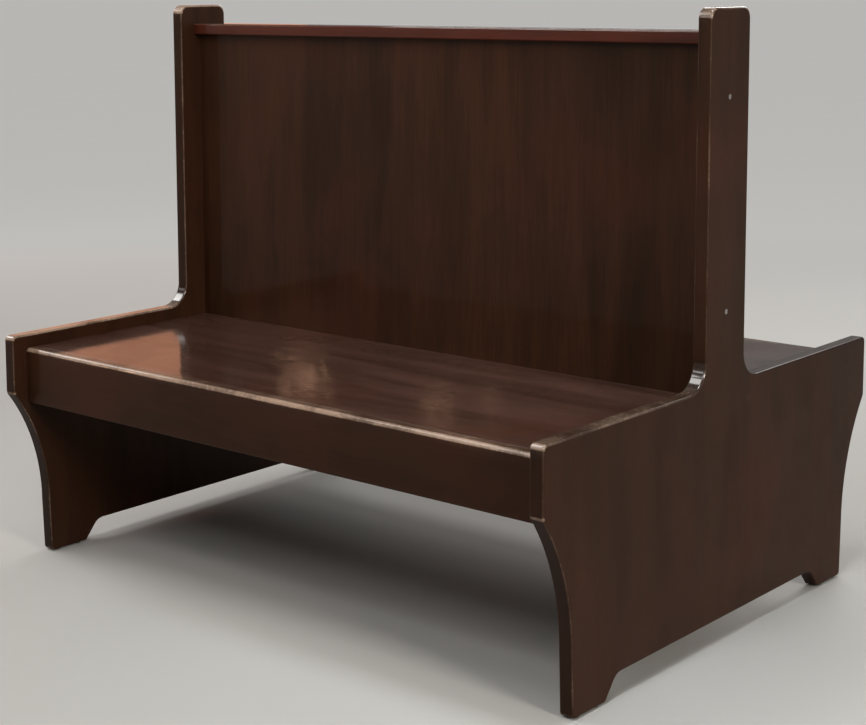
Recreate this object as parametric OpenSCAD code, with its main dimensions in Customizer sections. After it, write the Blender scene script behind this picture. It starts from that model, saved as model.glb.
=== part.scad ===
// Double-sided wooden restaurant booth: two seats back to back between two shaped end panels.
// X runs along the seats, Y from the front seat to the rear seat, Z up from the floor.
// The origin is on the floor, under the middle of the booth. All sizes are millimetres.

/* [Overall] */
// Length over the two end panels
overall_length = 1400; // [1000:10:1800]
// Depth over the arms, from front to rear
overall_depth = 1140; // [1040:10:1300]
// Height from the floor to the top of the posts
overall_height = 1180; // [1080:10:1400]

/* [End panels] */
// Thickness of each end panel
end_thick = 28; // [26:1:40]
// Height of the arms above the floor
arm_height = 491; // [476:1:520]
// Depth of the post that rises above the arms
post_depth = 138; // [110:2:180]
// Radius of the top corners of the post
post_corner_r = 20; // [4:1:30]
// Radius of the hollow where an arm meets the post
post_fillet_r = 50; // [20:1:80]
// Radius of the upper corner of an arm
arm_corner_r = 10; // [2:1:14]

/* [Legs and feet] */
// Height of the straight front edge of an arm
nose_height = 124; // [110:1:150]
// Radius of the corner under that edge
nose_corner_r = 12; // [4:1:30]
// Radius of the hollow curve of a leg
leg_curve_r = 410; // [340:10:500]
// Distance that a leg stands back from the edge of its arm
leg_setback = 85; // [60:1:110]
// Further distance that the leg has drawn back at the floor
leg_taper = 4; // [0:1:10]
// Length of a foot along the floor
foot_length = 97; // [84:1:130]
// Radius of the lower corners of a foot
foot_corner_r = 8; // [3:1:10]
// Height of the arch between the feet
arch_height = 44; // [38:1:80]
// Slope of the ends of the arch, in degrees from the floor
arch_slope = 50; // [40:1:60]
// Radius of the upper corners of the arch
arch_r = 30; // [15:1:34]

/* [Back] */
// Thickness of the back panel
back_thick = 20; // [18:1:30]
// Depth of the housings in the end panels that hold the back panel
back_housing = 6; // [3:1:10]
// Depth of the rail that caps the back panel
rail_depth = 58; // [44:1:90]
// Height of the rail
rail_height = 25; // [18:1:40]
// Distance from the top of the posts down to the rail
rail_drop = 42; // [25:1:80]
// Depth of the groove under the rail
rail_groove = 8; // [4:1:12]
// Radius of the long edges of the rail
rail_edge_r = 4; // [1:1:8]

/* [Seats] */
// Height of the seats above the floor
seat_height = 462; // [440:1:470]
// Thickness of a seat board
seat_thick = 22; // [18:1:30]
// Height of an apron
apron_height = 118; // [95:1:140]
// Thickness of an apron
apron_thick = 25; // [18:1:32]
// Distance from the edge of the arms back to the face of an apron
apron_inset = 36; // [10:1:50]
// Radius of the upper outer edge of an apron
apron_nose_r = 6; // [2:1:12]
// Radius of the lower outer edge of an apron
apron_foot_r = 3; // [1:1:8]

/* [Framing under the seats] */
// Width of the cleats under the ends of a seat
cleat_width = 25; // [20:1:35]
// Height of the cleats and of the ledgers
cleat_height = 40; // [34:1:50]
// Thickness of the ledgers on the back panel
ledger_thick = 25; // [20:1:35]
// Thickness of the middle braces
brace_thick = 20; // [16:1:30]
// Height of the middle braces
brace_height = 70; // [60:1:80]
// Length of the two glued sides of a corner block
corner_block = 45; // [30:1:60]
// Height of the corner blocks above the lower edge of an apron
corner_block_rise = 5; // [0:1:15]
// Width of the square glue blocks
glue_block = 28; // [20:1:36]
// Length of the glue blocks along an apron
glue_block_length = 90; // [60:5:140]
// Number of glue blocks along each half of an apron
glue_blocks_per_half = 2; // [1:1:3]

/* [Fasteners] */
// Distance from the top of the back panel down to the upper screws of the posts
upper_screw_drop = 102; // [40:1:200]
// Distance from the arms up to the lower screws of the posts
lower_screw_rise = 135; // [100:1:200]
// Diameter of the screws of the posts
post_screw_d = 5; // [4:0.5:6]
// Length of the screws of the posts
post_screw_length = 60; // [45:5:80]
// Diameter of all the other screws
screw_d = 4.5; // [3.5:0.5:5.5]
// Length of the screws into the ends of the seats
seat_end_screw_length = 50; // [40:5:60]
// Distance from the middle of the booth to the screws into the ends of the seats
seat_end_screw_offset = 87; // [70:1:120]
// Length that a framing screw reaches into the second piece
screw_bite = 14; // [10:1:15]
// Distance that a screw head lies under the face of the wood
head_sink = 0.4; // [0.1:0.1:1]
// Clearance all round a screw, plug or nail in its hole
hole_fit = 0.05; // [0.02:0.01:0.1]
// Diameter of the wooden plugs over the screws into the ends of the seats
plug_d = 12; // [11.5:0.5:14]
// Depth of the plugs
plug_depth = 8; // [5:1:10]
// Screws through each cleat into its end panel
screws_per_cleat = 3; // [2:1:4]
// Screws through each half of a ledger into the back panel
screws_per_half_ledger = 2; // [2:1:3]
// Distance of a ledger's screws above or below its middle, so that the two ledgers' screws pass
ledger_screw_shift = 8; // [6:1:10]

/* [Glides] */
// Diameter of the glides under the feet
glide_d = 20; // [16:1:22]
// Thickness of the glides
glide_thick = 3; // [2:0.5:6]
// Distance from the rounded corners of a foot to its glides
glide_margin = 2; // [0:0.5:4]
// Diameter of the nail of a glide
nail_d = 3; // [2:0.5:4]
// Length of the nail in the foot
nail_length = 16; // [10:1:22]

/* [Hidden] */

STAINED = "#3a2118";
FRAMING = "#a98357";
STEEL = "#c4c2bc";
NYLON = "#2a211c";

$fn = 48;
// Largest distance between an outline's arc and the straight steps that draw it
arc_gap = 0.05;
// Length that a cutting shape runs past a face
over = 1;

// Proportions of a countersunk screw, in diameters of its shank
screw_head = 2;
screw_rim = 0.1;
screw_point = 1.6;
screw_blunt = 0.2;
recess_length = 1.1;
recess_width = 0.2;
recess_depth = 0.45;

// Distances from the middle of the booth to the faces of the end panels
outer_x = overall_length / 2;
inner_x = outer_x - end_thick;

// Distances from the middle of the booth to the faces of the back, the arms and the aprons
back_y = back_thick / 2;
ledger_y = back_y + ledger_thick;
arm_y = overall_depth / 2;
apron_y = arm_y - apron_inset;
seat_y = apron_y - apron_thick;

// Heights, from the top down
rail_top = overall_height - rail_drop;
rail_bottom = rail_top - rail_height;
back_top = rail_bottom + rail_groove;
seat_under = seat_height - seat_thick;
cleat_bottom = seat_under - cleat_height;
brace_bottom = seat_under - brace_height;
apron_bottom = seat_height - apron_height;
corner_block_bottom = apron_bottom + corner_block_rise;

// The hollow curve of a leg, and the rounded corner between it and the edge of the arm
nose_bottom = arm_height - nose_height;
leg_y = arm_y - leg_setback;
ankle_z = nose_bottom - sqrt(pow(leg_curve_r, 2) - pow(leg_curve_r - leg_setback, 2));
nose_reach = leg_curve_r + nose_corner_r;
nose_turn = acos((nose_reach - leg_setback) / nose_reach);
nose_z = ankle_z + nose_reach * sin(nose_turn);
toe_y = leg_y - leg_taper;
heel_y = toe_y - foot_length;

// A point list for an arc round a centre, from one angle to another
function arc(centre, r, from, to) =
    let (steps = max(4, ceil(abs(to - from) / (2 * acos(1 - arc_gap / r)))))
    [for (i = [0:steps]) let (a = from + (to - from) * i / steps) centre + r * [cos(a), sin(a)]];

function unit(v) = v / norm(v);

// A point list that rounds the corner b of the path a, b, c
function corner(a, b, c, r) =
    let (
        u = unit(a - b),
        v = unit(c - b),
        half = acos(u * v) / 2,
        centre = b + unit(u + v) * r / sin(half),
        start = b + u * r / tan(half) - centre,
        angle = atan2(start[1], start[0]),
        turn = 180 - 2 * half,
        left = u[0] * v[1] - u[1] * v[0] > 0
    )
    arc(centre, r, angle, left ? angle - turn : angle + turn);

// One half of an end panel's outline, from the top of the post down to the arch
function half_outline() =
    let (
        post_top = [post_depth / 2, overall_height],
        crook = [post_depth / 2, arm_height],
        arm_end = [arm_y, arm_height],
        toe = [toe_y, glide_thick],
        heel = [heel_y, glide_thick],
        arch_end = [heel_y - (arch_height - glide_thick) / tan(arch_slope), arch_height]
    )
    concat(
        corner([0, overall_height], post_top, crook, post_corner_r),
        corner(post_top, crook, arm_end, post_fillet_r),
        corner(crook, arm_end, [arm_y, 0], arm_corner_r),
        arc([arm_y - nose_corner_r, nose_z], nose_corner_r, 0, -nose_turn),
        arc([leg_y + leg_curve_r, ankle_z], leg_curve_r, 180 - nose_turn, 180),
        corner([leg_y, ankle_z], toe, heel, foot_corner_r),
        corner(toe, heel, arch_end, foot_corner_r),
        corner(heel, arch_end, [0, arch_height], arch_r)
    );

function mirrored(points) = [for (i = [len(points) - 1:-1:0]) [-points[i][0], points[i][1]]];

module box(low, high) {
    translate(low) cube(high - low);
}

// Draws the children's Y and Z outline from one X to another
module along_x(from, to) {
    translate([from, 0, 0]) rotate([90, 0, 90]) linear_extrude(to - from) children();
}

// A rectangle in Y and Z with rounded edges on its -Y side
module edged_board(low, high, low_r, high_r) {
    lower = [low[0], low[1]];
    upper = [low[0], high[1]];
    polygon(concat(
        corner(upper, lower, [high[0], low[1]], low_r),
        [[high[0], low[1]], high],
        corner(high, upper, lower, high_r)
    ));
}

// Turns a piece of the front seat round to the rear seat
module rear() {
    rotate(180) children();
}

module at_both_seats() {
    children();
    rear() children();
}

// Puts the children at both ends of the booth, at a distance from its middle, pointing outwards
module at_both_ends(x, y, z) {
    translate([x, y, z]) rotate([0, 90, 0]) children();
    translate([-x, y, z]) rotate([0, -90, 0]) children();
}

// Puts the children at both ends of the booth, pointing inwards
module into_both_ends(x, y, z) {
    translate([x, y, z]) rotate([0, -90, 0]) children();
    translate([-x, y, z]) rotate([0, 90, 0]) children();
}

// The outline of half a countersunk screw that points along +Z from its head
module screw_half(d, length, grow, lead) {
    head_r = d * screw_head / 2;
    rim = d * screw_rim;
    polygon([
        [0, -lead],
        [head_r + grow, -lead],
        [head_r + grow, rim],
        [d / 2 + grow, rim + head_r - d / 2],
        [d / 2 + grow, length - d * screw_point],
        [d * screw_blunt / 2 + grow, length + grow],
        [0, length + grow]
    ]);
}

module screw(d, length) {
    difference() {
        rotate_extrude() screw_half(d, length, 0, 0);
        for (turn = [0, 90]) rotate(turn)
            translate([-d * recess_length / 2, -d * recess_width / 2, -over])
                cube([d * recess_length, d * recess_width, over + d * recess_depth]);
    }
}

// The hole that a screw sits in, open above its head
module screw_hole(d, length) {
    rotate_extrude() screw_half(d, length, hole_fit, head_sink + over);
}

cleat_length = seat_y - ledger_y;
half_ledger = inner_x - brace_thick / 2;

// Where the screws stand: each module puts its children at every place, pointing as the screws do
module at_post_screws() {
    for (z = [arm_height + lower_screw_rise, back_top - upper_screw_drop])
        into_both_ends(outer_x - head_sink, 0, z) children();
}

module at_seat_end_screws() {
    for (y = [-seat_end_screw_offset, seat_end_screw_offset])
        into_both_ends(outer_x - plug_depth, y, seat_height - seat_thick / 2) children();
}

module at_front_cleat_screws() {
    for (i = [1:screws_per_cleat])
        at_both_ends(inner_x - cleat_width + head_sink,
                     -seat_y + cleat_length * (i - 0.5) / screws_per_cleat,
                     cleat_bottom + cleat_height / 2) children();
}

module at_front_ledger_screws(shift) {
    for (side = [-1, 1]) for (i = [1:screws_per_half_ledger])
        translate([side * (inner_x - half_ledger * (i - 0.5) / screws_per_half_ledger),
                   -ledger_y + head_sink, cleat_bottom + cleat_height / 2 + shift])
            rotate([-90, 0, 0]) children();
}

// These go up through the cleats and the ledger, halfway between the screws that hold them
module at_front_seat_screws() {
    for (side = [-1, 1]) {
        for (i = [1:screws_per_cleat - 1])
            translate([side * (inner_x - cleat_width / 2),
                       -seat_y + cleat_length * i / screws_per_cleat,
                       cleat_bottom + head_sink]) children();
        for (i = [1:screws_per_half_ledger - 1])
            translate([side * (inner_x - half_ledger * i / screws_per_half_ledger),
                       -(back_y + ledger_y) / 2,
                       cleat_bottom + head_sink]) children();
    }
}

module at_glides() {
    edge = foot_corner_r + glide_margin + glide_d / 2;
    for (x = [-1, 1] * (outer_x - end_thick / 2), side = [-1, 1], y = [toe_y - edge, heel_y + edge])
        translate([x, side * y, 0]) children();
}

cleat_screw_length = cleat_width - head_sink + screw_bite;
ledger_screw_length = ledger_thick - head_sink + screw_bite;
seat_screw_length = cleat_height - head_sink + screw_bite;

module post_screw_holes() {
    at_post_screws() screw_hole(post_screw_d, post_screw_length);
}

module seat_end_screw_holes() {
    at_seat_end_screws() screw_hole(screw_d, seat_end_screw_length);
}

module cleat_screw_holes() {
    at_front_cleat_screws() screw_hole(screw_d, cleat_screw_length);
}

module ledger_screw_holes(shift) {
    at_front_ledger_screws(shift) screw_hole(screw_d, ledger_screw_length);
}

module seat_screw_holes() {
    at_front_seat_screws() screw_hole(screw_d, seat_screw_length);
}

// An end panel from one X to another, with the housing for the back panel
module end_panel(from, to) {
    housing_x = inner_x + back_housing;
    color(STAINED) difference() {
        along_x(from, to) polygon(concat(half_outline(), mirrored(half_outline())));
        box([-housing_x, -back_y, apron_bottom], [housing_x, back_y, back_top]);
        post_screw_holes();
        seat_end_screw_holes();
        at_seat_end_screws() translate([0, 0, -plug_depth - over])
            cylinder(d = plug_d + 2 * hole_fit, h = plug_depth + over);
        at_both_seats() cleat_screw_holes();
        at_glides() cylinder(d = nail_d + 2 * hole_fit, h = glide_thick + nail_length + hole_fit);
    }
}

module left_end_panel() {
    end_panel(-outer_x, -inner_x);
}

module right_end_panel() {
    end_panel(inner_x, outer_x);
}

module back_panel() {
    reach = inner_x + back_housing;
    color(STAINED) difference() {
        box([-reach, -back_y, apron_bottom], [reach, back_y, back_top]);
        post_screw_holes();
        ledger_screw_holes(ledger_screw_shift);
        rear() ledger_screw_holes(-ledger_screw_shift);
    }
}

module top_rail() {
    half = rail_depth / 2;
    color(STAINED) difference() {
        for (turn = [0, 180]) rotate(turn) along_x(-inner_x, inner_x)
            edged_board([-half, rail_bottom], [0, rail_top], rail_edge_r, rail_edge_r);
        box([-inner_x - over, -back_y, rail_bottom - over], [inner_x + over, back_y, back_top]);
    }
}

module front_seat_board() {
    color(STAINED) difference() {
        box([-inner_x, -seat_y, seat_under], [inner_x, -back_y, seat_height]);
        seat_end_screw_holes();
        seat_screw_holes();
    }
}

module front_apron() {
    color(STAINED) along_x(-inner_x, inner_x)
        edged_board([-apron_y, apron_bottom], [-seat_y, seat_height], apron_foot_r, apron_nose_r);
}

module front_cleat(from) {
    color(FRAMING) difference() {
        box([from, -seat_y, cleat_bottom], [from + cleat_width, -ledger_y, seat_under]);
        cleat_screw_holes();
        seat_screw_holes();
    }
}

module front_left_cleat() {
    front_cleat(-inner_x);
}

module front_right_cleat() {
    front_cleat(inner_x - cleat_width);
}

module front_ledger(shift) {
    color(FRAMING) difference() {
        box([-inner_x, -ledger_y, cleat_bottom], [inner_x, -back_y, seat_under]);
        ledger_screw_holes(shift);
        seat_screw_holes();
    }
}

// A rib from the apron to the back panel, notched under the ledger
module front_brace() {
    color(FRAMING) along_x(-brace_thick / 2, brace_thick / 2) polygon([
        [-seat_y, brace_bottom], [-back_y, brace_bottom], [-back_y, cleat_bottom],
        [-ledger_y, cleat_bottom], [-ledger_y, seat_under], [-seat_y, seat_under]
    ]);
}

// The blocks that hold the brace to the apron
module front_brace_blocks() {
    color(FRAMING) for (x = [-brace_thick / 2 - glue_block, brace_thick / 2])
        box([x, -seat_y, brace_bottom], [x + glue_block, -seat_y + glue_block, seat_under]);
}

// The blocks under the cleats that hold the apron to the end panels
module front_corner_blocks() {
    color(FRAMING) for (side = [0, 1]) mirror([side, 0, 0])
        translate([inner_x, -seat_y, corner_block_bottom])
            linear_extrude(cleat_bottom - corner_block_bottom)
                polygon([[0, 0], [0, corner_block], [-corner_block, 0]]);
}

// Glue blocks stand at equal steps between the brace's blocks and the cleats
module front_glue_blocks() {
    start = brace_thick / 2 + glue_block;
    step = (inner_x - cleat_width - start) / glue_blocks_per_half;
    color(FRAMING) for (side = [0, 1]) mirror([side, 0, 0]) for (i = [1:glue_blocks_per_half]) {
        from = start + step * (i - 0.5) - glue_block_length / 2;
        box([from, -seat_y, seat_under - glue_block],
            [from + glue_block_length, -seat_y + glue_block, seat_under]);
    }
}

module post_screws() {
    color(STEEL) at_post_screws() screw(post_screw_d, post_screw_length);
}

module seat_end_screws() {
    color(STEEL) at_seat_end_screws() screw(screw_d, seat_end_screw_length);
}

module seat_end_plugs() {
    color(STAINED) at_seat_end_screws() translate([0, 0, -plug_depth])
        cylinder(d = plug_d, h = plug_depth);
}

module cleat_screws() {
    color(STEEL) at_both_seats() at_front_cleat_screws() screw(screw_d, cleat_screw_length);
}

module ledger_screws() {
    color(STEEL) {
        at_front_ledger_screws(ledger_screw_shift) screw(screw_d, ledger_screw_length);
        rear() at_front_ledger_screws(-ledger_screw_shift) screw(screw_d, ledger_screw_length);
    }
}

module seat_fixing_screws() {
    color(STEEL) at_both_seats() at_front_seat_screws() screw(screw_d, seat_screw_length);
}

module glide_pads() {
    color(NYLON) at_glides() cylinder(d = glide_d, h = glide_thick);
}

// Each nail stands on its pad, in the foot
module glide_nails() {
    color(STEEL) at_glides() translate([0, 0, glide_thick]) cylinder(d = nail_d, h = nail_length);
}

left_end_panel();
right_end_panel();
back_panel();
top_rail();
front_seat_board();
rear() front_seat_board();  // rear_seat_board
front_apron();
rear() front_apron();  // rear_apron
front_left_cleat();
front_right_cleat();
rear() front_right_cleat();  // rear_left_cleat
rear() front_left_cleat();  // rear_right_cleat
front_ledger(ledger_screw_shift);
rear() front_ledger(-ledger_screw_shift);  // rear_ledger
front_brace();
rear() front_brace();  // rear_brace
front_brace_blocks();
rear() front_brace_blocks();  // rear_brace_blocks
front_corner_blocks();
rear() front_corner_blocks();  // rear_corner_blocks
front_glue_blocks();
rear() front_glue_blocks();  // rear_glue_blocks
post_screws();
seat_end_screws();
seat_end_plugs();
cleat_screws();
ledger_screws();
seat_fixing_screws();
glide_pads();
glide_nails();
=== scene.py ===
# Dresses the model of a double-sided wooden booth: eased and worn edges, stained grain,
# satin varnish, bare framing under the seats, screws, plugs and glides, and a plain studio.
# Lengths are metres, in the frame of the model: X along the seats, Z up from the floor.
import math

import bmesh
import bpy
from bpy.props import FloatProperty, FloatVectorProperty, PointerProperty
from mathutils import Matrix, Vector, noise


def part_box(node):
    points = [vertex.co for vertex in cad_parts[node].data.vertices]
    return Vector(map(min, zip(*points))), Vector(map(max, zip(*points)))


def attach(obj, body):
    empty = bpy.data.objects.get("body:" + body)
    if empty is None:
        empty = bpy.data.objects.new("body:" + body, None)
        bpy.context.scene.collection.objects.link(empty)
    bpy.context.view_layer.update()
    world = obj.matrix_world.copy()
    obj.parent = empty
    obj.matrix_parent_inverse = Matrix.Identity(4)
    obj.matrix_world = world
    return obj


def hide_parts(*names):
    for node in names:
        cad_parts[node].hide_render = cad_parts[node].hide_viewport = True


bl_info = {
    "name": "Restaurant booth",
    "version": (1, 0, 0),
    "blender": (4, 5, 0),
    "location": "3D View > Sidebar > Booth",
    "description": "Builds the finished pieces of a double-sided wooden booth round its solids",
    "category": "Object",
}

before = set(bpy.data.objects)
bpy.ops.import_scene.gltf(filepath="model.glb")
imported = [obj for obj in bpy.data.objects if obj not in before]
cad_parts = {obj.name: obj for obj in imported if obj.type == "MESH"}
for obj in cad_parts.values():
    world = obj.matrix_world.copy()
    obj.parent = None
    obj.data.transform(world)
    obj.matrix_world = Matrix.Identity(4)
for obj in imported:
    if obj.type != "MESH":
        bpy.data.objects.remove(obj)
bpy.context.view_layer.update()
BODY = "root"

# Boxes of the solids that the finished pieces are fitted to
PANEL_LOW, PANEL_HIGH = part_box("right_end_panel")
BACK_LOW, BACK_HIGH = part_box("back_panel")
RAIL_LOW, RAIL_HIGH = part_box("top_rail")
SEAT_LOW, SEAT_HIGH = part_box("front_seat_board")
APRON_LOW, APRON_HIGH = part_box("front_apron")
POST_SCREWS_LOW, POST_SCREWS_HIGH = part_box("post_screws")
PLUGS_LOW, PLUGS_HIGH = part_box("seat_end_plugs")
PADS_LOW, PADS_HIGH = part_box("glide_pads")


def tone(red, green, blue):
    """A colour as it is seen on a screen, turned into the light that it stands for."""
    return tuple(v / 12.92 if v <= 0.04045 else ((v + 0.055) / 1.055) ** 2.4 for v in (red, green, blue))


def length(name, description, default):
    return FloatProperty(name=name, description=description, default=default, min=0.0, max=2.0,
                         unit="LENGTH", precision=4)


def colour(name, description, *default):
    return FloatVectorProperty(name=name, description=description, default=tone(*default), size=3,
                               min=0.0, max=1.0, subtype="COLOR")


class BoothSizes(bpy.types.PropertyGroup):
    """Sizes of the shaped pieces, as in the solids, and of their eased edges"""
    arm_height: length("Arm height", "Height of the arms above the floor", 0.491)
    post_depth: length("Post depth", "Depth of the post above the arms", 0.138)
    post_corner: length("Post corner", "Radius of the top corners of the post", 0.020)
    post_fillet: length("Post fillet", "Radius of the hollow where an arm meets the post", 0.050)
    arm_corner: length("Arm corner", "Radius of the upper corner of an arm", 0.010)
    nose_height: length("Nose height", "Height of the straight front edge of an arm", 0.124)
    nose_corner: length("Nose corner", "Radius of the corner under that edge", 0.012)
    leg_curve: length("Leg curve", "Radius of the hollow curve of a leg", 0.410)
    leg_setback: length("Leg setback", "Distance that a leg stands back from its arm", 0.085)
    leg_taper: length("Leg taper", "Further distance that the leg has drawn back at the floor", 0.004)
    foot_length: length("Foot length", "Length of a foot along the floor", 0.097)
    foot_corner: length("Foot corner", "Radius of the lower corners of a foot", 0.008)
    arch_height: length("Arch height", "Height of the arch between the feet", 0.044)
    arch_radius: length("Arch radius", "Radius of the upper corners of the arch", 0.030)
    arch_slope: FloatProperty(name="Arch slope", description="Slope of the ends of the arch",
                              default=math.radians(50), unit="ROTATION")
    panel_edge: length("Panel edge", "Radius of the long edges of the end panels", 0.0036)
    board_edge: length("Board edge", "Radius of the eased edges of seat boards and aprons", 0.0004)
    seat_back_edge: length("Seat back edge", "Radius of the seat's edge along the back panel", 0.0022)
    rail_edge: length("Rail edge", "Radius of the long edges of the rail", 0.004)
    apron_nose: length("Apron nose", "Radius of the upper outer edge of an apron", 0.0085)
    apron_foot: length("Apron foot", "Radius of the lower outer edge of an apron", 0.003)
    edge_wear: length("Edge wear", "How far the handled edges have worn down unevenly", 0.00035)


class BoothColours(bpy.types.PropertyGroup):
    """Colours of the finishes"""
    stain: colour("Stain", "Dark stain in the open grain", 0.150, 0.090, 0.056)
    grain: colour("Grain", "Stained wood between the darker streaks", 0.215, 0.128, 0.078)
    red: colour("Red tone", "Redder tone that the stain drifts to", 0.235, 0.117, 0.072)
    # The seats are paler and greyer than the other stained wood: partly from use, partly painted light on
    # their upward faces
    seat: colour("Seat", "Stained wood of the seats, a little paler from use", 0.338, 0.240, 0.212)
    rail: colour("Rail", "Redder wood of the rail", 0.345, 0.142, 0.100)
    # The worn colour also stands in for highlights, as painted sheen on arm tops, tight corners and edges
    worn_and_sheen: colour("Worn edge", "Wood that shows where the stain has worn off", 0.660, 0.560, 0.485)
    framing: colour("Framing", "Bare softwood under the seats", 0.690, 0.560, 0.400)
    knot: colour("Framing grain", "Darker grain of the softwood", 0.520, 0.370, 0.230)
    steel: colour("Steel", "Zinc on the screws", 0.780, 0.770, 0.750)
    nylon: colour("Nylon", "Moulded glides", 0.165, 0.135, 0.115)
    floor: colour("Floor", "Pale studio floor", 0.750, 0.745, 0.735)


# Outlines

# The longest side of an arc's polygon, its widest turn in radians, and its fewest sides
ARC_STEP, ARC_TURN, ARC_SIDES = 0.006, 0.26, 5
# Points nearer to each other than this are one
SAME_POINT = 1e-6
# How far a normal at a sharp corner may be lengthened: one over this
MITRE_LIMIT = 0.5
# A corner of this radius or a tighter one stands out in full
TIGHT_CORNER = 0.02


def arc(centre, radius, start, end):
    """Points of an arc from one angle to another, in radians."""
    turn = abs(end - start)
    count = max(ARC_SIDES, math.ceil(turn * radius / ARC_STEP), math.ceil(turn / ARC_TURN))
    angles = [start + (end - start) * i / count for i in range(count + 1)]
    return [Vector((centre[0] + radius * math.cos(a), centre[1] + radius * math.sin(a))) for a in angles]


def corner(before, at, after, radius):
    """Points that round the corner of a path."""
    before, at, after = Vector(before), Vector(at), Vector(after)
    u, v = (before - at).normalized(), (after - at).normalized()
    half = u.angle(v) / 2
    centre = at + (u + v).normalized() * radius / math.sin(half)
    first = at + u * radius / math.tan(half) - centre
    start = math.atan2(first.y, first.x)
    turn = math.pi - 2 * half
    if u.x * v.y - u.y * v.x > 0:
        turn = -turn
    return arc(centre, radius, start, start + turn)


def half_panel(sizes):
    """Half an end panel's outline in Y and Z, from the top of the post down to the arch."""
    top, foot, arm_y = PANEL_HIGH.z, PANEL_LOW.z, PANEL_HIGH.y
    post = sizes.post_depth / 2
    crook, arm_end = (post, sizes.arm_height), (arm_y, sizes.arm_height)
    leg_y = arm_y - sizes.leg_setback
    reach = sizes.leg_curve + sizes.nose_corner
    turn = math.acos((reach - sizes.leg_setback) / reach)
    inner_rise = math.sqrt(sizes.leg_curve ** 2 - (sizes.leg_curve - sizes.leg_setback) ** 2)
    ankle = sizes.arm_height - sizes.nose_height - inner_rise
    nose_z = ankle + reach * math.sin(turn)
    toe = (leg_y - sizes.leg_taper, foot)
    heel = (toe[0] - sizes.foot_length, foot)
    arch_end = (heel[0] - (sizes.arch_height - foot) / math.tan(sizes.arch_slope), sizes.arch_height)
    return (
        corner((0, top), (post, top), crook, sizes.post_corner)
        + corner((post, top), crook, arm_end, sizes.post_fillet)
        + corner(crook, arm_end, (arm_y, 0), sizes.arm_corner)
        + arc((arm_y - sizes.nose_corner, nose_z), sizes.nose_corner, 0, -turn)
        + arc((leg_y + sizes.leg_curve, ankle), sizes.leg_curve, math.pi - turn, math.pi)
        + corner((leg_y, ankle), toe, heel, sizes.foot_corner)
        + corner(toe, heel, arch_end, sizes.foot_corner)
        + corner(heel, arch_end, (0, sizes.arch_height), sizes.arch_radius)
    )


def panel_outline(sizes):
    """A whole end panel's outline in Y and Z."""
    half = half_panel(sizes)
    return half + [Vector((-p.x, p.y)) for p in reversed(half)]


def board_outline(low, high, radii):
    """A rectangle whose corners have their own radii, from the lower left round to the right."""
    a, b, c, d = (low[0], low[1]), (high[0], low[1]), (high[0], high[1]), (low[0], high[1])
    points = []
    for before, at, after, radius in zip((d, a, b, c), (a, b, c, d), (b, c, d, a), radii):
        points += corner(before, at, after, radius)
    return points


def stepped(points, step):
    """The closed outline with points added along its straight stretches, counter-clockwise."""
    area = sum(p.x * q.y - q.x * p.y for p, q in zip(points, points[1:] + points[:1]))
    if area < 0:
        points = points[::-1]
    result = []
    for p, q in zip(points, points[1:] + points[:1]):
        if (q - p).length < SAME_POINT:
            continue
        count = max(1, math.ceil((q - p).length / step))
        result += [p.lerp(q, i / count) for i in range(count)]
    return result


def inward_normals(points):
    """For each point the direction into the outline, longer where the outline turns."""
    normals = []
    for i, p in enumerate(points):
        before = (p - points[i - 1]).normalized()
        after = (points[(i + 1) % len(points)] - p).normalized()
        along = (before + after).normalized()
        normals.append(Vector((-along.y, along.x)) / max(MITRE_LIMIT, along.dot(after)))
    return normals


def sharpness(points):
    """How much each point of the outline stands out: 1 on a tight outer corner, 0 on a flat or hollow."""
    values = []
    for i, p in enumerate(points):
        before, after = p - points[i - 1], points[(i + 1) % len(points)] - p
        turn = before.x * after.y - before.y * after.x
        bend = turn / (before.length * after.length * (before.length + after.length) / 2)
        values.append(max(0.0, min(1.0, bend * TIGHT_CORNER)))
    return values


# Meshes

# Sides of the quarter round of a slab's rim, the flat strip beside it for each length of its
# radius, and how worn the ends of the round are next to its middle
RIM_SIDES, RIM_STRIP, RIM_END_WEAR = 5, 0.45, 0.15
# How many bumps and hollows a metre of worn edge has, and how fast wear sets in above worn_from
WEAR_LUMPS, WEAR_ONSET = 28, 50
# How fast the polish sets in as a narrow side turns upwards
POLISH_ONSET = 3
# Sides of a turned shape
TURNED_SIDES = 40
# Faces that meet at more than this keep a hard corner
HARD_CORNER = math.radians(42)


def solid(name, shape, finish, nodes, cutters=()):
    """A finished piece: the mesh with its wear and painted sheen, its cuts, its material and its place in
    the frame.
    """
    vertices, faces, wear_and_sheen, handled, narrow = shape
    mesh = bpy.data.meshes.new(name)
    mesh.from_pydata(vertices, [], faces)
    for key, values in (("wear_and_sheen", wear_and_sheen), ("handled", handled), ("narrow", narrow)):
        mesh.attributes.new(key, "FLOAT", "POINT").data.foreach_set("value", values)
    piece = bpy.data.objects.new(name, mesh)
    bpy.context.scene.collection.objects.link(piece)
    for cutter in cutters:
        cut(piece, cutter)
    settle(piece)
    mesh.materials.clear()
    mesh.materials.append(finish)
    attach(piece, BODY)
    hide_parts(*nodes)


def cut(piece, cutter):
    """Takes the cutter's shape out of the piece, for good."""
    change = piece.modifiers.new("cut", "BOOLEAN")
    change.operation = "DIFFERENCE"
    change.solver = "EXACT"
    change.object = cutter
    with bpy.context.temp_override(object=piece, active_object=piece):
        bpy.ops.object.modifier_apply(modifier=change.name)
    bpy.data.objects.remove(cutter)


def settle(piece):
    """Smooth shading that keeps flats flat and hard corners hard."""
    mesh = piece.data
    if mesh.validate(verbose=False):
        raise RuntimeError(f"{piece.name} has a faulty mesh")
    mesh.shade_smooth()
    mesh.set_sharp_from_angle(angle=HARD_CORNER)
    change = piece.modifiers.new("flats", "WEIGHTED_NORMAL")
    change.keep_sharp = True
    change.weight = 100


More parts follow.
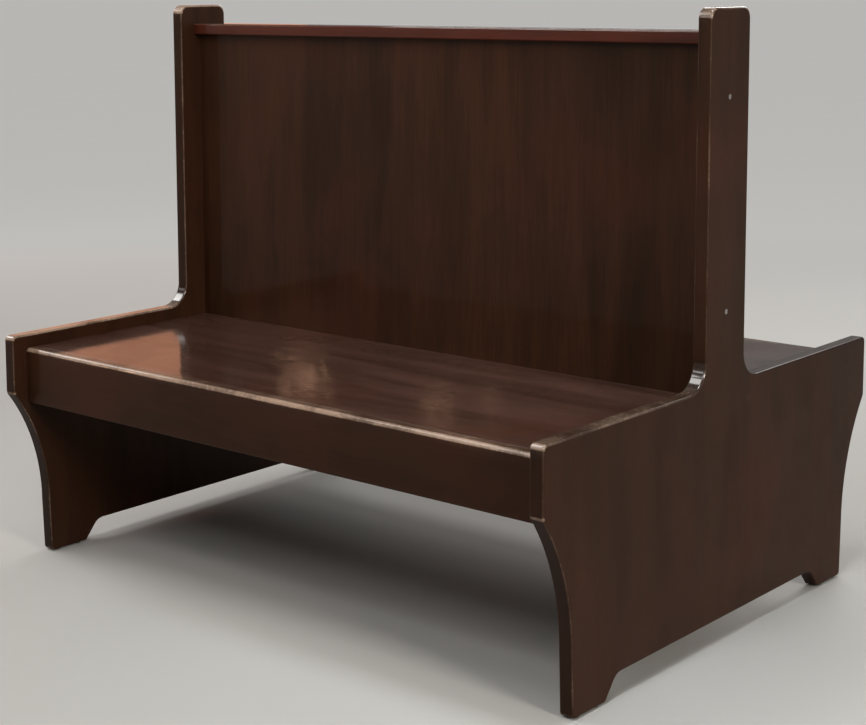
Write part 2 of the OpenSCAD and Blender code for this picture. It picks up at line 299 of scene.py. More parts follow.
def slab(outline, low, high, edge, wear_down, edge_wear=1.0, corner_wear_and_sheen=1.0, step=0.02, seed=0.0,
         worn_from=0.0, rubbed_and_sheen=0.0, polish=0.0, polish_from=0.0):
    """A board: its vertices, its faces, and for each vertex how worn and how polished by hands it
    is, and whether it lies on a narrow side.

    The outline in Y and Z is drawn along X, with rounded rims. The edges above worn_from are worn down
    unevenly, always inwards. The narrow sides that look up are rubbed paler and polished, and tight corners
    are paler too: partly wear, partly painted highlight.
    """
    points = stepped(outline, step)
    normals = inward_normals(points)
    corners = sharpness(points)
    margin = RIM_STRIP * edge
    rim = [(edge + margin, 0.0, 0.0)]
    for k in range(RIM_SIDES + 1):
        a = math.pi / 2 * k / RIM_SIDES
        worn_and_sheen = RIM_END_WEAR + (1 - RIM_END_WEAR) * math.sin(2 * a)
        rim.append((edge * (1 - math.sin(a)), edge * (1 - math.cos(a)), worn_and_sheen))
    span = high - low - 2 * edge
    count = max(1, round(span / step))
    rings = [(inset, low + depth, worn_and_sheen) for inset, depth, worn_and_sheen in rim]
    rings += [(0.0, low + edge + span * i / count, 0.0) for i in range(1, count)]
    rings += [(inset, high - depth, worn_and_sheen) for inset, depth, worn_and_sheen in reversed(rim)]

    vertices, wear_and_sheen, handled, narrow = [], [], [], []
    for inset, depth, worn_and_sheen in rings:
        for p, n, stands_out in zip(points, normals, corners):
            upward = max(0.0, -n.y)
            # Paler at worn edges, on tight corners and on upward sides: partly wear, partly painted
            # highlight
            value = max(worn_and_sheen * edge_wear, stands_out * corner_wear_and_sheen, upward ** 4 * rubbed_and_sheen)
            value *= 1.0 if inset <= edge else 0.0
            value *= max(0.0, min(1.0, (p.y - worn_from) * WEAR_ONSET))
            lump = Vector((p.x, p.y, depth)) * WEAR_LUMPS + Vector((seed, 0, 0))
            rough = 0.5 + 0.5 * noise.noise(lump)
            place = p + n * (inset + wear_down * value * max(0.0, rough))
            vertices.append((depth, place.x, place.y))
            wear_and_sheen.append(value)
            narrow.append(1 - inset / (edge + margin))
            polished = min(1.0, POLISH_ONSET * max(0.0, upward - polish_from))
            handled.append(polish * polished * narrow[-1])
    size = len(points)
    faces = []
    for r in range(len(rings) - 1):
        for i in range(size):
            j = (i + 1) % size
            faces.append((r * size + i, r * size + j, (r + 1) * size + j, (r + 1) * size + i))
    faces.append(tuple(reversed(range(size))))
    faces.append(tuple(range((len(rings) - 1) * size, len(rings) * size)))
    return vertices, faces, wear_and_sheen, handled, narrow


def turned(name, profile, place):
    """A closed shape turned about its own Z axis from a profile of radius and height."""
    maker = bmesh.new()
    angles = [2 * math.pi * i / TURNED_SIDES for i in range(TURNED_SIDES)]
    rings = [[maker.verts.new((r * math.cos(a), r * math.sin(a), z)) for a in angles]
             for r, z in profile]
    for lower, upper in zip(rings, rings[1:]):
        for i in range(TURNED_SIDES):
            j = (i + 1) % TURNED_SIDES
            maker.faces.new((lower[i], lower[j], upper[j], upper[i]))
    maker.faces.new(list(reversed(rings[0])))
    maker.faces.new(rings[-1])
    mesh = bpy.data.meshes.new(name)
    maker.to_mesh(mesh)
    maker.free()
    mesh.transform(place)
    shape = bpy.data.objects.new(name, mesh)
    bpy.context.scene.collection.objects.link(shape)
    return shape


def block(name, low, high):
    """A box between two corners, to cut with."""
    maker = bmesh.new()
    bmesh.ops.create_cube(maker, size=1.0)
    mesh = bpy.data.meshes.new(name)
    maker.to_mesh(mesh)
    maker.free()
    middle, size = (Vector(low) + Vector(high)) / 2, Vector(high) - Vector(low)
    mesh.transform(Matrix.Translation(middle) @ Matrix.Diagonal(size.to_4d()))
    shape = bpy.data.objects.new(name, mesh)
    bpy.context.scene.collection.objects.link(shape)
    return shape


# Finishes

class Mix:
    """A material while it is being mixed from nodes."""

    def __init__(self, name):
        self.material = bpy.data.materials.new(name)
        self.material.use_nodes = True
        self.tree = self.material.node_tree
        self.tree.nodes.clear()
        self.place = self.add("ShaderNodeTexCoord").outputs["Object"]

    def add(self, kind, inputs=(), **settings):
        node = self.tree.nodes.new(kind)
        for key, value in settings.items():
            setattr(node, key, value)
        for key, value in dict(inputs).items():
            if isinstance(value, bpy.types.NodeSocket):
                self.tree.links.new(value, node.inputs[key])
            else:
                node.inputs[key].default_value = value
        return node

    def stretched(self, scale, shift=(0.0, 0.0, 0.0)):
        return self.add("ShaderNodeMapping", {"Vector": self.place, "Location": shift,
                                              "Scale": scale}).outputs[0]

    def noise(self, place, scale, detail=2.0, rough=0.5, distortion=0.0):
        return self.add("ShaderNodeTexNoise", {"Vector": place, "Scale": scale, "Detail": detail,
                                               "Roughness": rough, "Distortion": distortion}).outputs[0]

    def between(self, value, low, high, to_low=0.0, to_high=1.0):
        return self.add("ShaderNodeMapRange", {"Value": value, "From Min": low, "From Max": high,
                                               "To Min": to_low, "To Max": to_high},
                        interpolation_type="SMOOTHSTEP").outputs[0]

    def math(self, operation, a, b=0.0, c=0.0):
        return self.add("ShaderNodeMath", {0: a, 1: b, 2: c}, operation=operation).outputs[0]

    def blend(self, amount, a, b, kind="MIX"):
        a, b = [v if isinstance(v, bpy.types.NodeSocket) else (*v, 1.0) for v in (a, b)]
        return self.add("ShaderNodeMix", {0: amount, 6: a, 7: b}, data_type="RGBA",
                        blend_type=kind).outputs[2]

    def grey(self, value):
        return self.add("ShaderNodeCombineColor", {0: value, 1: value, 2: value}).outputs[0]

    def bump(self, height, distance, strength=1.0):
        return self.add("ShaderNodeBump", {"Height": height, "Distance": distance,
                                           "Strength": strength}).outputs[0]

    def finish(self, base, rough, normal, metallic=0.0, specular=0.5, tint=(1.0, 1.0, 1.0, 1.0), coat=0.0,
               coat_rough=0.2, coat_ior=1.5, more=()):
        shader = self.add("ShaderNodeBsdfPrincipled", {
            "Base Color": base, "Roughness": rough, "Normal": normal, "Metallic": metallic,
            "Specular IOR Level": specular, "Specular Tint": tint, "Coat Weight": coat,
            "Coat Roughness": coat_rough, "Coat IOR": coat_ior,
            **dict(more)})
        self.add("ShaderNodeOutputMaterial", {"Surface": shader.outputs[0]})
        return self.material


# How the grain is stretched: upright, along the seats, and from front to back
GRAIN_UP, GRAIN_ALONG, GRAIN_ACROSS = (1.0, 1.0, 0.11), (0.11, 1.0, 1.0), (1.0, 0.11, 1.0)
# The fibres are longer than the streaks: their stretch for each unit of the grain's
FIBRE_STRETCH = 0.3
# The tint of the sheen under the varnish
VARNISH = (1.0, 0.74, 0.58, 1.0)


def fibre(grain):
    """The stretch of the fibres that go with a grain."""
    return [g * (FIBRE_STRETCH if g < 1 else 1) for g in grain]


def stained_wood(name, grain, shift, light, wear_and_sheen=0.3, gloss=0.0, varnish=0.3, haze=0.09, glassy=1.5,
                 narrow_shade=0.0, streaky=1.0):
    """Stained and varnished wood: streaks and pores along the grain, drifting stain, worn edges.

    wear is how far the stain may have worn off, and how pale the painted sheen on edges gets. gloss goes
    from 0, satin, to 1, polished. varnish is how much clear coat lies on the plain faces, haze its
    roughness and glassy its refractive index. The narrow sides are darkened by the amount given for them,
    as painted shade, and streaky is how strongly the grain shows.
    """
    colours = bpy.context.scene.booth_colours
    mix = Mix(name)
    figure = mix.stretched(grain, shift)
    fine = mix.stretched(fibre(grain), shift)
    streaks = mix.noise(figure, 13, 4, 0.55, 0.9)
    lines = mix.noise(fine, 260, 3, 0.6, 0.2)
    pores = mix.between(mix.noise(fine, 1100, 2, 0.5), 0.58, 0.68)
    drift = mix.noise(mix.place, 3.1, 4, 0.55, 0.5)

    # The stain, lighter and redder in places and darker in pores, with painted shade darkening the narrow
    # sides
    bands = mix.between(streaks, 0.2, 0.8, 0.5 - 0.35 * streaky, 0.5 + 0.35 * streaky)
    wood = mix.blend(bands, tuple(colours.stain), light)
    wood = mix.blend(mix.between(drift, 0.46, 0.75, 0.0, 0.45), wood, tuple(colours.red))
    shade = mix.math("ADD", mix.between(lines, 0.3, 0.7, 1 - 0.08 * streaky, 1 + 0.08 * streaky),
                     mix.between(drift, 0.3, 0.7, -0.07, 0.07))
    shade = mix.math("SUBTRACT", shade, mix.math("MULTIPLY", pores, 0.15))
    narrow = mix.add("ShaderNodeAttribute", attribute_name="narrow").outputs["Fac"]
    shade = mix.math("SUBTRACT", shade, mix.math("MULTIPLY", narrow, narrow_shade))
    wood = mix.blend(1.0, wood, mix.grey(shade), "MULTIPLY")

    # The edges, where the stain has worn off in patches, and the painted highlight on arm tops, tight
    # corners and the seats' back edge
    edge = mix.add("ShaderNodeAttribute", attribute_name="wear_and_sheen").outputs["Fac"]
    patches = mix.between(mix.noise(mix.place, 9, 4, 0.6), 0.3, 0.7, 0.45, 1.1)
    nicks = mix.between(mix.noise(mix.place, 150, 2, 0.6), 0.45, 0.75, 0.85, 1.25)
    bare_and_sheen = mix.math("MULTIPLY", edge, mix.math("MULTIPLY", patches, nicks))
    bare_and_sheen = mix.between(bare_and_sheen, 0.1, 0.95, 0.0, wear_and_sheen)
    wood = mix.blend(bare_and_sheen, wood, tuple(colours.worn_and_sheen))

    # The sheen of the wood, and over it the varnish, which hands have polished
    smudge = mix.noise(mix.place, 7, 4, 0.6, 0.5)
    rough = mix.between(smudge, 0.3, 0.72, 0.40 - 0.12 * gloss, 0.54 - 0.14 * gloss)
    rough = mix.math("ADD", rough, mix.math("MULTIPLY", bare_and_sheen, 0.1))
    height = mix.math("SUBTRACT", mix.math("MULTIPLY", lines, 0.3), mix.math("MULTIPLY", pores, 0.4))
    height = mix.math("ADD", height, mix.math("MULTIPLY", mix.noise(mix.place, 9, 2, 0.4), 2.0))
    normal = mix.bump(height, 0.0003, 0.5)
    handled = mix.add("ShaderNodeAttribute", attribute_name="handled").outputs["Fac"]
    coat = mix.math("MULTIPLY_ADD", handled, 1 - varnish, varnish)
    coat = mix.math("MULTIPLY", coat, mix.between(smudge, 0.32, 0.62, 0.7, 1.0))
    ripple = mix.bump(mix.noise(mix.place, 11, 3, 0.55), 0.0012, 0.5)
    return mix.finish(wood, rough, normal, specular=0.07, tint=VARNISH, coat=coat, coat_rough=haze,
                      coat_ior=glassy, more={"Coat Normal": ripple})


def sawn_wood(name, grain, shift):
    """Bare softwood: wide pale and dark bands, knots of darker grain, saw marks across."""
    colours = bpy.context.scene.booth_colours
    mix = Mix(name)
    figure = mix.stretched(grain, shift)
    bands = mix.add("ShaderNodeTexWave", {"Vector": figure, "Scale": 18, "Distortion": 5, "Detail": 3,
                                          "Detail Scale": 1.2}, bands_direction="DIAGONAL").outputs[1]
    wood = mix.blend(mix.between(bands, 0.25, 0.95, 0.0, 0.75), tuple(colours.framing), tuple(colours.knot))
    fibres = mix.noise(mix.stretched(fibre(grain), shift), 420, 3, 0.6)
    wood = mix.blend(mix.between(fibres, 0.35, 0.75, 0.0, 0.25), wood, tuple(colours.knot))
    height = mix.math("ADD", fibres, mix.math("MULTIPLY", mix.noise(mix.place, 90, 2), 0.6))
    return mix.finish(wood, mix.between(fibres, 0.3, 0.7, 0.62, 0.82), mix.bump(height, 0.0004, 0.6),
                      specular=0.3)


def zinc(name):
    """Zinc-plated steel: faint turning marks and dull spots."""
    mix = Mix(name)
    spots = mix.noise(mix.place, 420, 3, 0.6)
    base = mix.blend(mix.between(spots, 0.4, 0.75), tuple(bpy.context.scene.booth_colours.steel),
                     tone(0.62, 0.60, 0.56))
    marks = mix.noise(mix.stretched((1.0, 1.0, 6.0)), 1500, 2)
    return mix.finish(base, mix.between(spots, 0.3, 0.7, 0.24, 0.42), mix.bump(marks, 0.00005, 0.4),
                      metallic=1.0)


def nylon(name):
    """Moulded nylon, scuffed by the floor."""
    mix = Mix(name)
    scuffs = mix.noise(mix.place, 260, 3, 0.7)
    base = mix.blend(mix.between(scuffs, 0.5, 0.8, 0.0, 0.6), tuple(bpy.context.scene.booth_colours.nylon),
                     tone(0.34, 0.31, 0.28))
    return mix.finish(base, mix.between(scuffs, 0.3, 0.7, 0.42, 0.62), mix.bump(scuffs, 0.0001, 0.5))


def dress(node, finish):
    """Gives a node of the model its finish."""
    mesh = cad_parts[node].data
    mesh.materials.clear()
    mesh.materials.append(finish)


# Pieces

class BoothStep:
    """What every step of the booth shares."""
    bl_options = {"REGISTER", "UNDO"}

    def execute(self, context):
        self.build(context.scene.booth_sizes, context.scene.booth_colours)
        return {"FINISHED"}


class BOOTH_OT_end_panels(BoothStep, bpy.types.Operator):
    """Cut the two shaped end panels, with their housings, screw holes and plug holes"""
    bl_idname = "booth.end_panels"
    bl_label = "End panels"

    def build(self, sizes, colours):
        # upper is how much of the painted shade on the narrow sides the post gets, and behind how much of
        # the wear, painted sheen and polish the arm behind the post has. The left arm is rubbed and worn
        # paler than the right: partly wear, partly a painted highlight on its top.
        for side, name, rubbed_and_sheen, polish_from, upper, behind, wear_and_sheen in (
                (-1, "left_end_panel", 0.95, 0.25, 1.0, 1.0, 0.8),
                (1, "right_end_panel", 0.5, 0.0, 0.3, 0.2, 0.6)):
            low, high = sorted((side * PANEL_LOW.x, side * PANEL_HIGH.x))
            outline = panel_outline(sizes)
            shape = slab(outline, low, high, sizes.panel_edge, sizes.edge_wear, edge_wear=0.45,
                         step=0.016, seed=side * 3.1, rubbed_and_sheen=rubbed_and_sheen, polish=1.0, polish_from=polish_from)
            places, _, worn_and_sheen, handled, narrow = shape
            # Painted shade on the narrow sides, less of it on the right post above the arm
            narrow[:] = [value * (upper if at[2] > sizes.arm_height + sizes.post_fillet else 1.0)
                         for value, at in zip(narrow, places)]
            for used in (worn_and_sheen, handled):
                used[:] = [value * (behind if at[1] > sizes.post_depth / 2 else 1.0)
                           for value, at in zip(used, places)]
            finish = stained_wood(name + "_wood", GRAIN_UP, (side * 1.7, 0.4, 0.0), tuple(colours.grain),
                                  wear_and_sheen=wear_and_sheen, varnish=0.08, haze=0.14, glassy=1.8, narrow_shade=0.35)
            solid(name, shape, finish, [name], self.cutters(side))

    def cutters(self, side):
        over, fit, screw_deep, plug_deep = 0.002, 0.00005, 0.05, 0.008
        yield block("housing", BACK_LOW, BACK_HIGH)
        head = (POST_SCREWS_HIGH.y - POST_SCREWS_LOW.y) / 2
        outer = PANEL_HIGH.x
        inwards = Matrix.Rotation(-side * math.pi / 2, 4, "Y")
        for z in (POST_SCREWS_LOW.z + head, POST_SCREWS_HIGH.z - head):
            sink = outer - POST_SCREWS_HIGH.x
            profile = [(head + fit, -over), (head + fit, sink + head * 0.1),
                       (head / 2 + fit, sink + head * 0.6), (head / 2 + fit, screw_deep)]
            yield turned("screw_hole", profile, Matrix.Translation((side * outer, 0, z)) @ inwards)
        radius = (PLUGS_HIGH.z - PLUGS_LOW.z) / 2
        for y in (PLUGS_LOW.y + radius, PLUGS_HIGH.y - radius):
            place = Matrix.Translation((side * outer, y, PLUGS_LOW.z + radius)) @ inwards
            yield turned("plug_hole", [(radius + fit, -over), (radius + fit, plug_deep)], place)


class BOOTH_OT_back_panel(BoothStep, bpy.types.Operator):
    """Finish the back panel in upright grain"""
    bl_idname = "booth.back_panel"
    bl_label = "Back panel"

    def build(self, sizes, colours):
        dress("back_panel", stained_wood("back_panel_wood", GRAIN_UP, (0.0, 2.2, 0.3), tuple(colours.grain),
                                         varnish=0.15, haze=0.06, streaky=1.6))


class BOOTH_OT_top_rail(BoothStep, bpy.types.Operator):
    """Shape the rail that caps the back, with its groove"""
    bl_idname = "booth.top_rail"
    bl_label = "Top rail"

    def build(self, sizes, colours):
        r = sizes.rail_edge
        outline = board_outline((RAIL_LOW.y, RAIL_LOW.z), (RAIL_HIGH.y, RAIL_HIGH.z), (r, r, r, r))
        shape = slab(outline, RAIL_LOW.x, RAIL_HIGH.x, sizes.board_edge, sizes.edge_wear, edge_wear=0.2,
                     corner_wear_and_sheen=0.8, seed=7.0, worn_from=(RAIL_LOW.z + RAIL_HIGH.z) / 2, rubbed_and_sheen=0.5,
                     polish=1.0)
        finish = stained_wood("top_rail_wood", GRAIN_ALONG, (0.9, 0.0, 4.0), tuple(colours.rail), wear_and_sheen=0.25)
        over = 0.01
        groove = block("groove", (RAIL_LOW.x - over, BACK_LOW.y, RAIL_LOW.z - over),
                       (RAIL_HIGH.x + over, BACK_HIGH.y, BACK_HIGH.z))
        solid("top_rail", shape, finish, ["top_rail"], [groove])


class BOOTH_OT_seat_boards(BoothStep, bpy.types.Operator):
    """Lay the two seat boards"""
    bl_idname = "booth.seat_boards"
    bl_label = "Seat boards"

    def build(self, sizes, colours):
        for side, name, varnish in ((1, "front_seat_board", 0.9), (-1, "rear_seat_board", 0.6)):
            low, high = sorted((side * SEAT_LOW.y, side * SEAT_HIGH.y))
            front, back = sizes.board_edge, sizes.seat_back_edge
            radii = (front, front, back, front) if side > 0 else (front, front, front, back)
            outline = board_outline((low, SEAT_LOW.z), (high, SEAT_HIGH.z), radii)
            lower_part, by_back = 0.01, 0.02
            shape = slab(outline, SEAT_LOW.x, SEAT_HIGH.x, front, 0.0, edge_wear=0.2, step=0.05,
                         worn_from=SEAT_LOW.z + lower_part)
            # Only the edge along the back panel is worn paler: partly wear, partly a painted highlight
            # along the joint
            places, _, worn_and_sheen, _, _ = shape
            worn_and_sheen[:] = [value if abs(at[1]) < by_back else 0.0 for value, at in zip(worn_and_sheen, places)]
            finish = stained_wood(name + "_wood", GRAIN_ALONG, (0.3, side * 1.3, 0.8), tuple(colours.seat),
                                  wear_and_sheen=0.5, gloss=1.0, varnish=varnish, haze=0.10)
            solid(name, shape, finish, [name])


class BOOTH_OT_aprons(BoothStep, bpy.types.Operator):
    """Shape the two aprons, their upper edges worn by legs and paler along the nose, partly as painted
    highlight
    """
    bl_idname = "booth.aprons"
    bl_label = "Aprons"

    def build(self, sizes, colours):
        for side, name in ((1, "front_apron"), (-1, "rear_apron")):
            foot, nose, r = sizes.apron_foot, sizes.apron_nose, sizes.board_edge
            radii = (foot, r, r, nose) if side > 0 else (r, foot, nose, r)
            low, high = sorted((side * APRON_LOW.y, side * APRON_HIGH.y))
            outline = board_outline((low, APRON_LOW.z), (high, APRON_HIGH.z), radii)
            shape = slab(outline, APRON_LOW.x, APRON_HIGH.x, r, sizes.edge_wear, edge_wear=0.2,
                         seed=side * 11.0, worn_from=(APRON_LOW.z + APRON_HIGH.z) / 2, rubbed_and_sheen=0.45,
                         polish=0.65)
            finish = stained_wood(name + "_wood", GRAIN_ALONG, (1.1, side * 0.7, 1.9), tuple(colours.grain),
                                  wear_and_sheen=0.82, varnish=0.12)
            solid(name, shape, finish, [name])


class BOOTH_OT_framing(BoothStep, bpy.types.Operator):
    """Finish the bare softwood pieces under the seats"""
    bl_idname = "booth.framing"
    bl_label = "Framing"

    def build(self, sizes, colours):
        along_x = ("ledger", "glue_blocks")
        along_y = ("left_cleat", "right_cleat", "brace")
        upright = ("brace_blocks", "corner_blocks")
        for kinds, grain in ((along_x, GRAIN_ALONG), (along_y, GRAIN_ACROSS), (upright, GRAIN_UP)):
            for i, kind in enumerate(kinds):
                for j, seat in enumerate(("front", "rear")):
                    node = f"{seat}_{kind}"
                    dress(node, sawn_wood(node + "_wood", grain, (i * 1.3, j * 2.1, i + j * 0.7)))


class BOOTH_OT_fasteners(BoothStep, bpy.types.Operator):
    """Finish the screws, the nails and the wooden plugs"""
    bl_idname = "booth.fasteners"
    bl_label = "Screws, nails and plugs"

    def build(self, sizes, colours):
        steel = zinc("zinc_plate")
        for node in ("post_screws", "seat_end_screws", "cleat_screws", "ledger_screws",
                     "seat_fixing_screws", "glide_nails"):
            dress(node, steel)
        dress("seat_end_plugs", stained_wood("plug_wood", GRAIN_ALONG, (2.9, 1.1, 0.2), tuple(colours.red)))


class BOOTH_OT_glides(BoothStep, bpy.types.Operator):
    """Mould the glides under the feet"""
    bl_idname = "booth.glides"
    bl_label = "Glides"

    def build(self, sizes, colours):
        thick = PADS_HIGH.z - PADS_LOW.z
        foot = PANEL_HIGH.y - sizes.leg_setback - sizes.leg_taper
        x = (PANEL_LOW.x + PANEL_HIGH.x) / 2
        radius = PADS_HIGH.x - x
        first = PADS_HIGH.y - radius
        second = first - (sizes.foot_length - 2 * (foot - first))
        rim, lip, sides = 0.001, 0.0003, 4
        profile = [(radius - rim * (1 - math.sin(a)), rim * (1 - math.cos(a)))
                   for a in (math.pi / 2 * k / sides for k in range(sides + 1))]
        profile += [(radius, thick - lip), (radius - lip, thick)]
        finish = nylon("glide_nylon")
        pads = []
        for end in (-1, 1):
            for y in (first, second, -second, -first):
                pads.append(turned("glide", profile, Matrix.Translation((end * x, y, 0))))
        with bpy.context.temp_override(active_object=pads[0], selected_editable_objects=pads):
            bpy.ops.object.join()
        piece = pads[0]
        piece.name = piece.data.name = "glide_pads_moulded"
        settle(piece)
        piece.data.materials.append(finish)
        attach(piece, BODY)
        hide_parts("glide_pads")


# Studio

CAMERA_PLACE = (2.3129, -2.8273, 1.2308)
CAMERA_TURN, CAMERA_TILT, CAMERA_ROLL = 41.8825, -7.0771, -0.487
PHOTO_WIDE, PHOTO_HIGH = 866, 725
# The photograph's centre of view, and its focal length, in its own pixels
VIEW_X, VIEW_Y, FOCAL = 349.8, 201.0, 1768.1


# Each lamp's place, what it faces, its width and height, its spread in degrees, its power and colour
STUDIO, WARM = (1.0, 0.985, 0.96), (1.0, 0.55, 0.33)
LAMPS = (
    ("front_key", (-0.95, -1.0, 2.6), (0.2, -0.2, 0.5), (1.0, 1.05), 180, 20, STUDIO),
    ("front_left_key", (-3.15, -0.8, 2.6), (-0.3, -0.2, 0.5), (0.75, 1.8), 180, 31, STUDIO),
    ("corner_box", (-1.3, -2.13, 2.6), (0.6, -0.57, 0.47), (0.5, 0.4), 180, 5.5, STUDIO),
    ("rear_strip", (-0.9, 2.4, 2.6), (0.1, 0.2, 0.6), (2.6, 0.5), 180, 32, STUDIO),
    ("rear_key", (0.0, 3.4, 2.5), (0.0, 0.3, 0.6), (2.0, 0.8), 180, 38, STUDIO),
    ("front_left_box", (-2.0, -4.2, 2.5), (0.0, 0.0, 0.6), (0.8, 0.5), 180, 5, STUDIO),
    ("left_low_box", (-3.6, -2.6, 1.65), (-0.7, -0.1, 0.6), (0.5, 0.5), 180, 3.0, STUDIO),
    ("front_right_key", (1.0, -2.2, 2.2), (0.4, -0.1, 0.6), (1.0, 0.8), 180, 22.5, STUDIO),
    ("right_top", (0.8, -0.3, 2.9), (0.68, -0.28, 0.46), (0.5, 0.5), 50, 2.4, (0.93, 0.98, 1.0)),
    ("right_box", (7.4, -1.6, 2.6), (0.0, 0.0, 0.6), (1.6, 1.2), 180, 318, (1.0, 0.935, 0.85)),
    ("warm_glow", (-3.9, 2.55, 1.42), (-0.4, -0.4, 0.46), (1.6, 0.8), 180, 2.8, (1.0, 0.28, 0.05)),
    ("wall_lamp_1", (-2.57, -2.35, 1.31), (-0.356, -0.01, 0.578), (0.16, 0.08), 30, 0.155, WARM),
    ("wall_lamp_2", (-2.06, -2.60, 1.41), (0.035, -0.01, 0.589), (0.13, 0.08), 30, 0.06, WARM),
    ("wall_lamp_3", (-1.81, -2.60, 1.34), (0.166, -0.01, 0.549), (0.07, 0.06), 30, 0.016, WARM),
)


# Half the width of the floor
FLOOR_REACH = 250
# The distances between which the floor turns into a plain pale background, and how pale it gets
FLOOR_FADE = (1.6, 5.5, 0.72)
# The light of the air at the horizon and above it, how pale it shows behind the booth, and how much
# of that the varnish mirrors
AIR_LOW, AIR_HIGH, AIR_SEEN, AIR_MIRRORED = 0.19, 0.16, 0.47, 0.08
# How high the air has reached its upper light: the upward part of a direction
AIR_RISE = 0.6
AIR_TINT = (1.0, 0.985, 0.965, 1.0)


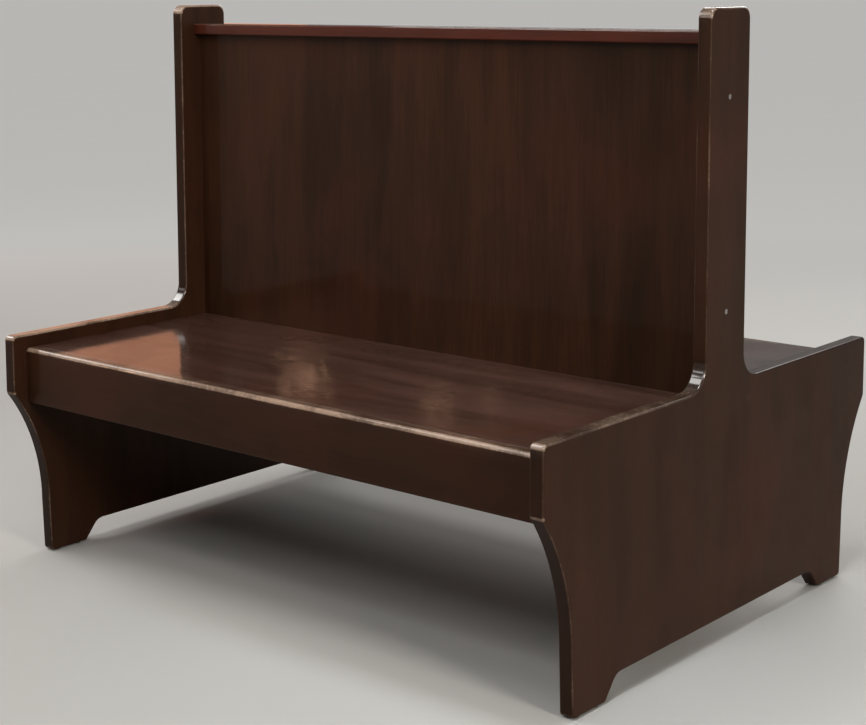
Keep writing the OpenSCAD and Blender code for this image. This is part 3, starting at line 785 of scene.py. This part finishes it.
class BOOTH_OT_stage(BoothStep, bpy.types.Operator):
    """Set the floor, the lamps and the camera"""
    bl_idname = "booth.stage"
    bl_label = "Studio"

    def build(self, sizes, colours):
        self.floor(colours)
        self.lamps()
        self.camera()

    def floor(self, colours):
        maker = bmesh.new()
        bmesh.ops.create_grid(maker, x_segments=1, y_segments=1, size=FLOOR_REACH)
        mesh = bpy.data.meshes.new("studio_floor")
        maker.to_mesh(mesh)
        maker.free()
        floor = bpy.data.objects.new("studio_floor", mesh)
        bpy.context.scene.collection.objects.link(floor)
        mix = Mix("floor_paint")
        cloud = mix.noise(mix.place, 1.5, 3)
        base = mix.blend(mix.between(cloud, 0.3, 0.7, 0.0, 0.04), tuple(colours.floor),
                         tone(0.8, 0.8, 0.8))
        path = mix.add("ShaderNodeLightPath").outputs
        seen = mix.math("MAXIMUM", path["Is Glossy Ray"], path["Is Transmission Ray"])
        seen = mix.math("MAXIMUM", path["Is Camera Ray"], seen)
        away = mix.add("ShaderNodeVectorMath", {0: mix.place}, operation="LENGTH").outputs["Value"]
        near, far, pale = FLOOR_FADE
        glow = mix.math("MULTIPLY", seen, mix.between(away, near, far, 0.0, pale))
        mesh.materials.append(mix.finish(base, mix.between(cloud, 0.3, 0.7, 0.55, 0.65),
                                         mix.bump(cloud, 0.0001), specular=0.2,
                                         more={"Emission Color": base, "Emission Strength": glow}))

    def lamps(self):
        world = bpy.data.worlds.new("studio_air")
        world.use_nodes = True
        nodes, links = world.node_tree.nodes, world.node_tree.links
        way = nodes.new("ShaderNodeTexCoord")
        parts = nodes.new("ShaderNodeSeparateXYZ")
        rise = nodes.new("ShaderNodeMapRange")
        links.new(way.outputs["Generated"], parts.inputs[0])
        links.new(parts.outputs["Z"], rise.inputs["Value"])
        rise.inputs["From Max"].default_value = AIR_RISE
        rise.inputs["To Min"].default_value = AIR_LOW
        rise.inputs["To Max"].default_value = AIR_HIGH
        path = nodes.new("ShaderNodeLightPath").outputs
        mirrored = nodes.new("ShaderNodeMath")
        mirrored.operation = "MULTIPLY"
        links.new(path["Is Glossy Ray"], mirrored.inputs[0])
        mirrored.inputs[1].default_value = AIR_MIRRORED
        seen = mirrored.outputs[0]
        for ray in ("Is Camera Ray", "Is Transmission Ray"):
            most = nodes.new("ShaderNodeMath")
            most.operation = "MAXIMUM"
            links.new(seen, most.inputs[0])
            links.new(path[ray], most.inputs[1])
            seen = most.outputs[0]
        strength = nodes.new("ShaderNodeMix")
        links.new(seen, strength.inputs[0])
        links.new(rise.outputs[0], strength.inputs[2])
        strength.inputs[3].default_value = AIR_SEEN
        links.new(strength.outputs[0], nodes["Background"].inputs[1])
        nodes["Background"].inputs[0].default_value = AIR_TINT
        bpy.context.scene.world = world
        for name, place, target, size, spread, power, tint in LAMPS:
            lamp = bpy.data.lights.new(name, "AREA")
            lamp.shape = "RECTANGLE"
            lamp.size, lamp.size_y = size
            lamp.energy = power
            lamp.color = tint
            lamp.spread = math.radians(spread)
            holder = bpy.data.objects.new(name, lamp)
            out = (Vector(place) - Vector(target)).normalized()
            across = Vector((1, 0, 0)) if abs(out.x) < 0.8 else Vector((0, 1, 0))
            up = out.cross(across).normalized()
            across = up.cross(out)
            turn = Matrix((across, up, out)).transposed()
            holder.matrix_world = Matrix.Translation(place) @ turn.to_4x4()
            holder.visible_camera = False
            bpy.context.scene.collection.objects.link(holder)

    def camera(self):
        data = bpy.data.cameras.new("photo_camera")
        data.sensor_width = 36.0
        data.lens = FOCAL / PHOTO_WIDE * data.sensor_width
        data.shift_x = (PHOTO_WIDE / 2 - VIEW_X) / PHOTO_WIDE
        data.shift_y = (VIEW_Y - PHOTO_HIGH / 2) / PHOTO_WIDE
        data.clip_end = 200
        camera = bpy.data.objects.new("photo_camera", data)
        camera.rotation_mode = "QUATERNION"
        turn = (Matrix.Rotation(math.radians(CAMERA_TURN), 3, "Z")
                @ Matrix.Rotation(math.radians(90 + CAMERA_TILT), 3, "X")
                @ Matrix.Rotation(math.radians(CAMERA_ROLL), 3, "Z"))
        camera.rotation_quaternion = turn.to_quaternion()
        camera.location = CAMERA_PLACE
        bpy.context.scene.collection.objects.link(camera)
        bpy.context.scene.camera = camera


STEPS = (BOOTH_OT_stage, BOOTH_OT_end_panels, BOOTH_OT_back_panel, BOOTH_OT_top_rail,
         BOOTH_OT_seat_boards, BOOTH_OT_aprons, BOOTH_OT_framing, BOOTH_OT_fasteners, BOOTH_OT_glides)


class BOOTH_PT_sidebar(bpy.types.Panel):
    """The booth's steps, sizes and colours"""
    bl_label = "Restaurant booth"
    bl_space_type = "VIEW_3D"
    bl_region_type = "UI"
    bl_category = "Booth"

    def draw(self, context):
        for step in STEPS:
            self.layout.operator(step.bl_idname)
        for group in (context.scene.booth_sizes, context.scene.booth_colours):
            box = self.layout.box()
            for key in type(group).__annotations__:
                box.prop(group, key)


CLASSES = (BoothSizes, BoothColours, *STEPS, BOOTH_PT_sidebar)


def register():
    for part in CLASSES:
        bpy.utils.register_class(part)
    bpy.types.Scene.booth_sizes = PointerProperty(type=BoothSizes)
    bpy.types.Scene.booth_colours = PointerProperty(type=BoothColours)


def unregister():
    del bpy.types.Scene.booth_colours
    del bpy.types.Scene.booth_sizes
    for part in reversed(CLASSES):
        bpy.utils.unregister_class(part)


def main():
    register()
    bpy.context.scene.view_settings.view_transform = "Standard"
    for step in STEPS:
        group, name = step.bl_idname.split(".")
        getattr(getattr(bpy.ops, group), name)()


if __name__ == "__main__":
    main()
